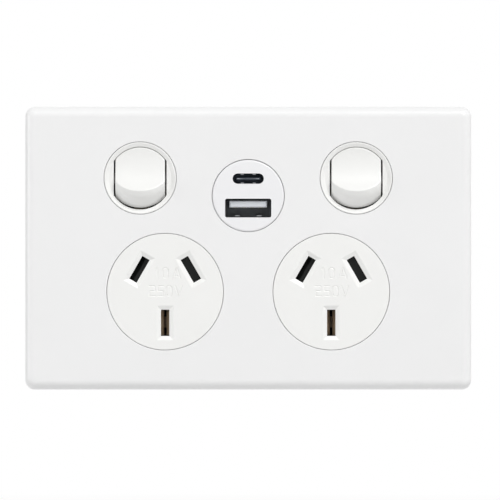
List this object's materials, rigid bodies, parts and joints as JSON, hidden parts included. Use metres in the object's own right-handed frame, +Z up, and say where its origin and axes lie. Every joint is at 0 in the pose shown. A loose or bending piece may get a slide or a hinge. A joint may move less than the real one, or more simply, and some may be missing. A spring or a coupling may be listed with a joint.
{
  "type": "usb wall socket",
  "caption": "White double switched wall socket for flat three-pin plugs, with round rocker switches and a round USB charger with one C and one A port.",
  "frame": {"origin": "middle of the plate on the wall plane, between the two mounting holes", "axes": "+X to the right as seen from the room, +Y into the wall, +Z up"},
  "size_m": [0.1196, 0.0381, 0.0758],
  "materials": {
    "plate_plastic": "white polycarbonate, moulded and polished",
    "face_plastic": "white polycarbonate, moulded, slightly warm",
    "base_plastic": "white thermoset moulding, matt",
    "fascia_plastic": "white polycarbonate, moulded, slightly cool",
    "rocker_plastic": "white polycarbonate, moulded, bright",
    "shutter_plastic": "dark grey acetal, moulded",
    "tongue_plastic": "pale blue-white nylon",
    "dark_plastic": "black liquid-crystal polymer",
    "board_laminate": "green solder mask on glass laminate",
    "ferrite": "sintered ferrite, dark grey",
    "winding_tape": "yellow polyester tape over copper wire",
    "can_aluminium": "aluminium can in a dark sleeve",
    "strip_brass": "rolled phosphor bronze and brass strip, dull",
    "terminal_brass": "machined brass",
    "contact_silver": "silver alloy, pressed",
    "gold_plate": "gold-plated contact",
    "port_steel": "folded stainless steel, dull nickel finish",
    "zinc_steel": "zinc-plated steel",
    "spring_steel": "drawn stainless spring wire"
  },
  "bodies": {
    "base": {"cover_plate": "plate_plastic", "front_housing": "face_plastic", "rear_housing": "base_plastic", "housing_screws": "zinc_steel", "usb_fascia": "fascia_plastic", "usb_a_shell": "port_steel", "usb_c_shell": "port_steel", "usb_a_tongue": "tongue_plastic", "usb_a_contacts": "gold_plate", "usb_c_tongue": "dark_plastic", "charger_board": "board_laminate", "transformer_core": "ferrite", "transformer_winding": "winding_tape", "charger_capacitors": "can_aluminium", "neutral_bar": "strip_brass", "earth_bar": "strip_brass", "active_feed_bar": "strip_brass", "neutral_terminal": "terminal_brass", "earth_terminal": "terminal_brass", "active_terminal": "terminal_brass", "active_contact_left": "strip_brass", "fixed_rivet_left": "contact_silver", "shutter_guide_left": "shutter_plastic", "shutter_spring_left": "spring_steel", "active_contact_right": "strip_brass", "fixed_rivet_right": "contact_silver", "shutter_guide_right": "shutter_plastic", "shutter_spring_right": "spring_steel"},
    "rocker_left": {"rocker_left": "rocker_plastic", "plunger_spring_left": "spring_steel"},
    "plunger_left": {"plunger_left": "tongue_plastic"},
    "blade_left": {"moving_contact_left": "strip_brass", "moving_rivet_left": "contact_silver"},
    "shutter_left": {"shutter_left": "shutter_plastic"},
    "rocker_right": {"rocker_right": "rocker_plastic", "plunger_spring_right": "spring_steel"},
    "plunger_right": {"plunger_right": "tongue_plastic"},
    "blade_right": {"moving_contact_right": "strip_brass", "moving_rivet_right": "contact_silver"},
    "shutter_right": {"shutter_right": "shutter_plastic"},
    "neutral_clamp": {"neutral_screw": "zinc_steel"},
    "earth_clamp": {"earth_screw": "zinc_steel"},
    "active_clamp": {"active_screw": "zinc_steel"}
  },
  "joints": [
    {"name": "rocker_left_turn", "type": "hinge", "parent": "base", "child": "rocker_left", "pos_m": [-0.0288, -0.0031, 0.0187], "axis": [1, 0, 0], "range_deg": [0, 35]},
    {"name": "plunger_left_slide", "type": "slide", "parent": "rocker_left", "child": "plunger_left", "axis": [0, 0.9537, -0.3007], "range_m": [0, 0.0005], "stiffness_N_per_m": 300, "springref_m": 0.002, "deforming": ["plunger_spring_left"]},
    {"name": "blade_left_rock", "type": "hinge", "parent": "base", "child": "blade_left", "pos_m": [-0.0288, 0.0058, 0.0187], "axis": [1, 0, 0], "range_deg": [-12, 0]},
    {"name": "shutter_left_slide", "type": "slide", "parent": "base", "child": "shutter_left", "axis": [1, 0, 0], "range_m": [0, 0.0027], "stiffness_N_per_m": 400, "springref_m": -0.002, "deforming": ["shutter_spring_left"]},
    {"name": "rocker_right_turn", "type": "hinge", "parent": "base", "child": "rocker_right", "pos_m": [0.0288, -0.0031, 0.0187], "axis": [1, 0, 0], "range_deg": [0, 35]},
    {"name": "plunger_right_slide", "type": "slide", "parent": "rocker_right", "child": "plunger_right", "axis": [0, 0.9537, -0.3007], "range_m": [0, 0.0005], "stiffness_N_per_m": 300, "springref_m": 0.002, "deforming": ["plunger_spring_right"]},
    {"name": "blade_right_rock", "type": "hinge", "parent": "base", "child": "blade_right", "pos_m": [0.0288, 0.0058, 0.0187], "axis": [1, 0, 0], "range_deg": [-12, 0]},
    {"name": "shutter_right_slide", "type": "slide", "parent": "base", "child": "shutter_right", "axis": [1, 0, 0], "range_m": [0, 0.0027], "stiffness_N_per_m": 400, "springref_m": -0.002, "deforming": ["shutter_spring_right"]},
    {"name": "neutral_clamp_drive", "type": "slide", "parent": "base", "child": "neutral_clamp", "axis": [0, -1, 0], "range_m": [0, 0.003]},
    {"name": "earth_clamp_drive", "type": "slide", "parent": "base", "child": "earth_clamp", "axis": [0, -1, 0], "range_m": [0, 0.003]},
    {"name": "active_clamp_drive", "type": "slide", "parent": "base", "child": "active_clamp", "axis": [0, -1, 0], "range_m": [0, 0.003]}
  ],
  "couplings": [
    {"joint": "blade_left_rock", "follows": "rocker_left_turn", "ratio": -0.34286},
    {"joint": "blade_right_rock", "follows": "rocker_right_turn", "ratio": -0.34286}
  ]
}
